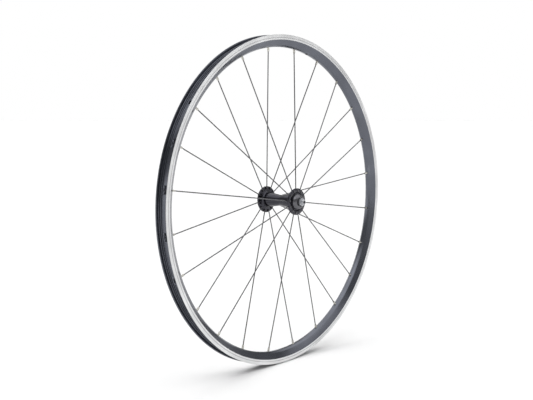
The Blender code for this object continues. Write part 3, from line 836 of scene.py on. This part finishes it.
class WHEEL_OT_bearings(bpy.types.Operator):
    """Makes each side's bearing: a cup, caged balls, and a cone with its dust cover"""

    bl_idname = "wheel.make_bearings"
    bl_label = "Make bearings"

    def execute(self, context):
        shapes = context.scene.wheel_shapes
        steps = shapes.hub_steps
        fillet_steps = shapes.fillet_steps
        for side in SIDES:
            pieces = (
                ("cup_", turned(cup_corners(), steps, fillet_steps), "ground_steel", "wheel", "bearing_cup_"),
                ("ball_ring_", cage_bmesh(shapes), "ground_steel", "balls_" + side, "caged_balls_"),
                ("dust_cover_", turned(cone_corners(), steps, fillet_steps), "dust_cover", "axle", "cone_"),
            )
            for prefix, bm, finish_name, body, node in pieces:
                bm.transform(to_side(side))
                piece = add_piece(prefix + side, bm, [finish(finish_name)])
                slot = "black_steel" if node == "cone_" else "bearing_steel"
                finish_piece(piece, body, slot, node + side)
        return {"FINISHED"}


def axle_corners():
    """The hollow axle. Its thread shows outside the locknuts, as grooves one pitch apart."""
    corners = [
        (AXLE_BORE_RADIUS, AXLE_HALF_LENGTH, SMALL_FILLET),
        (AXLE_RADIUS - CHAMFER, AXLE_HALF_LENGTH, 0),
        (AXLE_RADIUS, AXLE_HALF_LENGTH - CHAMFER, 0),
    ]
    for turn in range(THREAD_TURNS):
        crest_y = AXLE_HALF_LENGTH - CHAMFER - THREAD_START - turn * THREAD_PITCH
        corners += [
            (AXLE_RADIUS, crest_y, 0),
            (AXLE_RADIUS - THREAD_DEPTH, crest_y - THREAD_ROOT, 0),
            (AXLE_RADIUS, crest_y - 2 * THREAD_ROOT, 0),
        ]
    return mirrored(corners)


def locknut_corners():
    """The turned blank whose overlap with a hexagonal bar is a chamfered, bored nut."""
    corner_radius = LOCKNUT_HIGH.z
    return [
        (THREADED_BORE_RADIUS, LOCKNUT_LOW.y, 0),
        (LOCKNUT_FACE_RADIUS, LOCKNUT_LOW.y, 0),
        (corner_radius, LOCKNUT_LOW.y + LOCKNUT_CHAMFER, 0),
        (corner_radius, LOCKNUT_HIGH.y - LOCKNUT_CHAMFER, 0),
        (LOCKNUT_FACE_RADIUS, LOCKNUT_HIGH.y, 0),
        (THREADED_BORE_RADIUS, LOCKNUT_HIGH.y, 0),
    ]


def hexagonal_bar():
    bm = bmesh.new()
    corner_radius = LOCKNUT_HIGH.z
    middle = Matrix.Translation((0, (LOCKNUT_LOW.y + LOCKNUT_HIGH.y) / 2, 0))
    bmesh.ops.create_cone(
        bm,
        cap_ends=True,
        segments=6,
        radius1=corner_radius,
        radius2=corner_radius,
        depth=2 * (LOCKNUT_HIGH.y - LOCKNUT_LOW.y),
        matrix=middle @ ACROSS_AXLE,
    )
    return bm


class WHEEL_OT_axle(bpy.types.Operator):
    """Makes the hollow axle and its two locknuts"""

    bl_idname = "wheel.make_axle"
    bl_label = "Make axle and locknuts"

    def execute(self, context):
        shapes = context.scene.wheel_shapes
        zinc = finish("zinc_plate")
        axle = add_piece("hollow_axle", turned(axle_corners(), shapes.hub_steps, shapes.fillet_steps), [zinc])
        finish_piece(axle, "axle", "plated_steel", "axle")
        for side in SIDES:
            nut = add_piece(
                "hex_nut_" + side, turned(locknut_corners(), shapes.hub_steps, shapes.fillet_steps), [zinc]
            )
            carve(nut, hexagonal_bar(), "INTERSECT")
            nut.data.transform(to_side(side))
            finish_piece(nut, "axle", "plated_steel", "locknut_" + side)
        return {"FINISHED"}


def spoke_bmesh(shapes):
    """A spoke at angle 0 on the +Y side: domed head, shank through the flange, elbow and straight wire."""
    bm = bmesh.new()
    head_base_y = FLANGE_OUTER_Y + GAP
    third = Vector((0, -SPOKE_HEAD_THICKNESS / 3, 0))
    top = Matrix.Translation((HOLE_CIRCLE_RADIUS, head_base_y + SPOKE_HEAD_THICKNESS, 0)) @ ACROSS_AXLE
    ring = circle(bm, SPOKE_CROWN_RADIUS, shapes.wire_sides, top)
    ring = extend(bm, ring, third, SPOKE_DOME_RADIUS / SPOKE_CROWN_RADIUS)
    ring = extend(bm, ring, third, SPOKE_HEAD_RADIUS / SPOKE_DOME_RADIUS)
    ring = extend(bm, ring, third, SPOKE_RADIUS / SPOKE_HEAD_RADIUS)
    ring = extend(bm, ring, Vector((0, ELBOW_START_Y - head_base_y, 0)))
    bend = bmesh.ops.spin(
        bm,
        geom=ring,
        cent=ELBOW_CENTRE,
        axis=(0, 0, 1),
        angle=math.pi / 2 - spoke_tilt(),
        steps=shapes.elbow_steps,
    )
    ring = [item for item in bend["geom_last"] if isinstance(item, bmesh.types.BMEdge)]
    from_centre = Vector((-math.sin(spoke_tilt()), -math.cos(spoke_tilt()), 0))
    elbow_end = ELBOW_CENTRE + from_centre * ELBOW_RADIUS
    extend(bm, ring, along_spoke(SPOKE_END) - elbow_end)
    bmesh.ops.holes_fill(bm, edges=bm.edges)
    bmesh.ops.recalc_face_normals(bm, faces=bm.faces)
    return bm


def nipple_bmesh(shapes):
    """A nipple on the Z line: bore, square shank for the key, round collar, and domed head."""
    bm = bmesh.new()
    ring = circle(bm, NIPPLE_BORE_RADIUS, shapes.wire_sides, Matrix.Translation((0, 0, NIPPLE_BORE_END)))
    steps = (
        (NIPPLE_START, NIPPLE_BORE_RADIUS),
        (NIPPLE_START, NIPPLE_RADIUS),
        (NIPPLE_FLATS_END, NIPPLE_RADIUS),
        (NIPPLE_COLLAR_START, NIPPLE_RADIUS),
        (NIPPLE_SEAT, NIPPLE_RADIUS),
        (NIPPLE_SEAT, NIPPLE_HEAD_RADIUS),
        (NIPPLE_HEAD_TOP, NIPPLE_HEAD_RADIUS),
        (NIPPLE_CROWN_TOP, NIPPLE_CROWN_RADIUS),
    )
    place = NIPPLE_BORE_END
    radius = NIPPLE_BORE_RADIUS
    for next_place, next_radius in steps:
        ring = extend(bm, ring, Vector((0, 0, next_place - place)), next_radius / radius)
        place = next_place
        radius = next_radius
    bmesh.ops.holes_fill(bm, edges=bm.edges)
    for point in bm.verts:
        if point.co.z < NIPPLE_FLATS_END + GAP:
            point.co.x = max(-NIPPLE_HALF_FLATS, min(NIPPLE_HALF_FLATS, point.co.x))
            point.co.y = max(-NIPPLE_HALF_FLATS, min(NIPPLE_HALF_FLATS, point.co.y))
    bmesh.ops.recalc_face_normals(bm, faces=bm.faces)
    bm.transform(Matrix.Translation(along_spoke(0)) @ across_spoke())
    return bm


class WHEEL_OT_spokes(bpy.types.Operator):
    """Makes the spokes and their nipples, alternately from the left and right flanges"""

    bl_idname = "wheel.make_spokes"
    bl_label = "Make spokes and nipples"

    def execute(self, context):
        shapes = context.scene.wheel_shapes
        for index in range(SPOKE_COUNT):
            number = f"{index + 1:02d}"
            makers = (
                ("wire_", spoke_bmesh, "drawn_wire", "spoke_wire", "spoke_"),
                ("key_nipple_", nipple_bmesh, "nipple_plate", "nipple", "nipple_"),
            )
            for prefix, maker, finish_name, slot, node in makers:
                bm = maker(shapes)
                bm.transform(spoke_matrix(index))
                piece = add_piece(prefix + number, bm, [finish(finish_name)])
                finish_piece(piece, "wheel", slot, node + number)
        return {"FINISHED"}


def add_area_light(name, place, size, power):
    light = bpy.data.lights.new(name, "AREA")
    light.size = size
    light.energy = power
    holder = bpy.data.objects.new(name, light)
    bpy.context.scene.collection.objects.link(holder)
    holder.location = place
    holder.rotation_euler = (-Vector(place)).to_track_quat("-Z", "Y").to_euler()


def add_camera(stage):
    """A camera that looks just beside the wheel's centre."""
    level = math.cos(stage.elevation)
    outward = Vector(
        (math.sin(stage.azimuth) * level, -math.cos(stage.azimuth) * level, math.sin(stage.elevation))
    )
    camera = bpy.data.objects.new("camera", bpy.data.cameras.new("camera"))
    bpy.context.scene.collection.objects.link(camera)
    right = (-outward).cross(Vector((0, 0, 1))).normalized()
    up = right.cross(-outward)
    looks_along = -outward + math.tan(stage.yaw) * right + math.tan(stage.pitch) * up
    camera.location = outward * stage.distance
    camera.rotation_euler = looks_along.to_track_quat("-Z", "Y").to_euler()
    camera.data.sensor_width = SENSOR_WIDTH
    camera.data.lens = stage.lens
    bpy.context.scene.camera = camera


def add_sky(stage):
    """A white backdrop. As light it is two walls, a dark band above them, and a bright ceiling."""
    world = bpy.data.worlds.new("white_surround")
    world.use_nodes = True
    tree = world.node_tree
    background = tree.nodes["Background"]
    direction = put(tree, "ShaderNodeTexCoord").outputs["Generated"]
    split = put(tree, "ShaderNodeSeparateXYZ", {0: direction})
    height = split.outputs["Z"]
    side = split.outputs["Y"]
    near_to_far = smooth_step(tree, side, NEAR_TO_FAR, stage.near_wall_strength, stage.far_wall_strength)
    walls = smooth_step(tree, height, WALL_TOP, near_to_far, stage.dark_strength)
    ceiling = smooth_step(tree, height, CEILING_EDGE, 0, stage.overhead_strength)
    light = sum_or_product(tree, "ADD", walls, ceiling)
    seen = put(tree, "ShaderNodeLightPath").outputs["Is Camera Ray"]
    strength = put(tree, "ShaderNodeMix", {0: seen, 2: light, 3: 1.0})
    tree.links.new(strength.outputs[0], background.inputs["Strength"])
    background.inputs["Color"].default_value = (1, 1, 1, 1)
    bpy.context.scene.world = world


class WHEEL_OT_stage(bpy.types.Operator):
    """Sets a pale floor under the wheel, soft lights and the camera"""

    bl_idname = "wheel.set_stage"
    bl_label = "Set stage"

    def execute(self, context):
        stage = context.scene.wheel_stage
        bm = bmesh.new()
        floor_place = Matrix.Translation((0, 0, -RIM_RADIUS - MM))
        bmesh.ops.create_circle(
            bm, cap_ends=True, segments=FLOOR_SIDES, radius=FLOOR_RADIUS, matrix=floor_place
        )
        material = bpy.data.materials.new("pale_floor")
        material.use_nodes = True
        shader = material.node_tree.nodes["Principled BSDF"]
        shader.inputs["Base Color"].default_value = (*stage.floor_colour, 1)
        shader.inputs["Roughness"].default_value = FLOOR_ROUGHNESS
        shader.inputs["Specular IOR Level"].default_value = FLOOR_SPECULAR
        add_piece("floor", bm, [material])
        add_area_light("key_light", *KEY_LIGHT, stage.key_power)
        add_area_light("fill_light", *FILL_LIGHT, stage.fill_power)
        add_sky(stage)
        add_camera(stage)
        context.scene.view_settings.view_transform = "Standard"
        return {"FINISHED"}


OPERATORS = (
    WHEEL_OT_rim,
    WHEEL_OT_hub_shell,
    WHEEL_OT_bearings,
    WHEEL_OT_axle,
    WHEEL_OT_spokes,
    WHEEL_OT_stage,
)
SETTINGS = {"wheel_shapes": WheelShapes, "wheel_colours": WheelColours, "wheel_stage": WheelStage}


class WHEEL_PT_panel(bpy.types.Panel):
    """Lists the wheel's settings and the steps that build it"""

    bl_idname = "WHEEL_PT_panel"
    bl_label = "Front wheel"
    bl_space_type = "VIEW_3D"
    bl_region_type = "UI"
    bl_category = "Wheel"

    def draw(self, context):
        for operator in OPERATORS:
            self.layout.operator(operator.bl_idname)
        for name, group in SETTINGS.items():
            box = self.layout.box()
            for field in group.__annotations__:
                box.prop(getattr(context.scene, name), field)


CLASSES = (*SETTINGS.values(), *OPERATORS, WHEEL_PT_panel)


def register():
    for cls in CLASSES:
        bpy.utils.register_class(cls)
    for name, group in SETTINGS.items():
        setattr(bpy.types.Scene, name, PointerProperty(type=group))


def unregister():
    for name in SETTINGS:
        delattr(bpy.types.Scene, name)
    for cls in reversed(CLASSES):
        bpy.utils.unregister_class(cls)


def main():
    register()
    bpy.ops.wheel.make_rim()
    bpy.ops.wheel.make_hub_shell()
    bpy.ops.wheel.make_bearings()
    bpy.ops.wheel.make_axle()
    bpy.ops.wheel.make_spokes()
    bpy.ops.wheel.set_stage()


if __name__ == "__main__":
    main()
